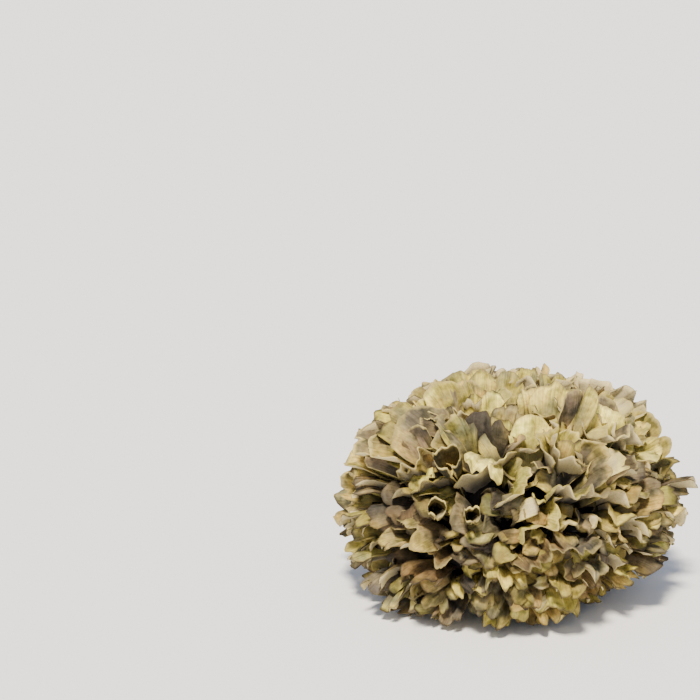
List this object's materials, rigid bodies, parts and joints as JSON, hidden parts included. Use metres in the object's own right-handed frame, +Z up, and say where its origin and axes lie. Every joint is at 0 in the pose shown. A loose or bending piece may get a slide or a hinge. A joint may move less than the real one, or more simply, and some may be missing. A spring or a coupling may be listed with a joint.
{
  "type": "maitake mushroom head",
  "caption": "Head of maitake (hen-of-the-woods): overlapping waved fan-shaped caps on a branching core, standing on its flat cut foot.",
  "frame": {"origin": "middle of the flat cut foot, on the surface that the head stands on", "axes": "+Z up through the crown, +X to the right across the caps, -Y to the front"},
  "size_m": [0.2466, 0.2286, 0.1526],
  "materials": {
    "cap_skin": "matte",
    "pore_surface": "matte",
    "cut_flesh": "matte"
  },
  "bodies": {
    "root": {"maitake_head": "cap_skin"}
  },
  "joints": []
}
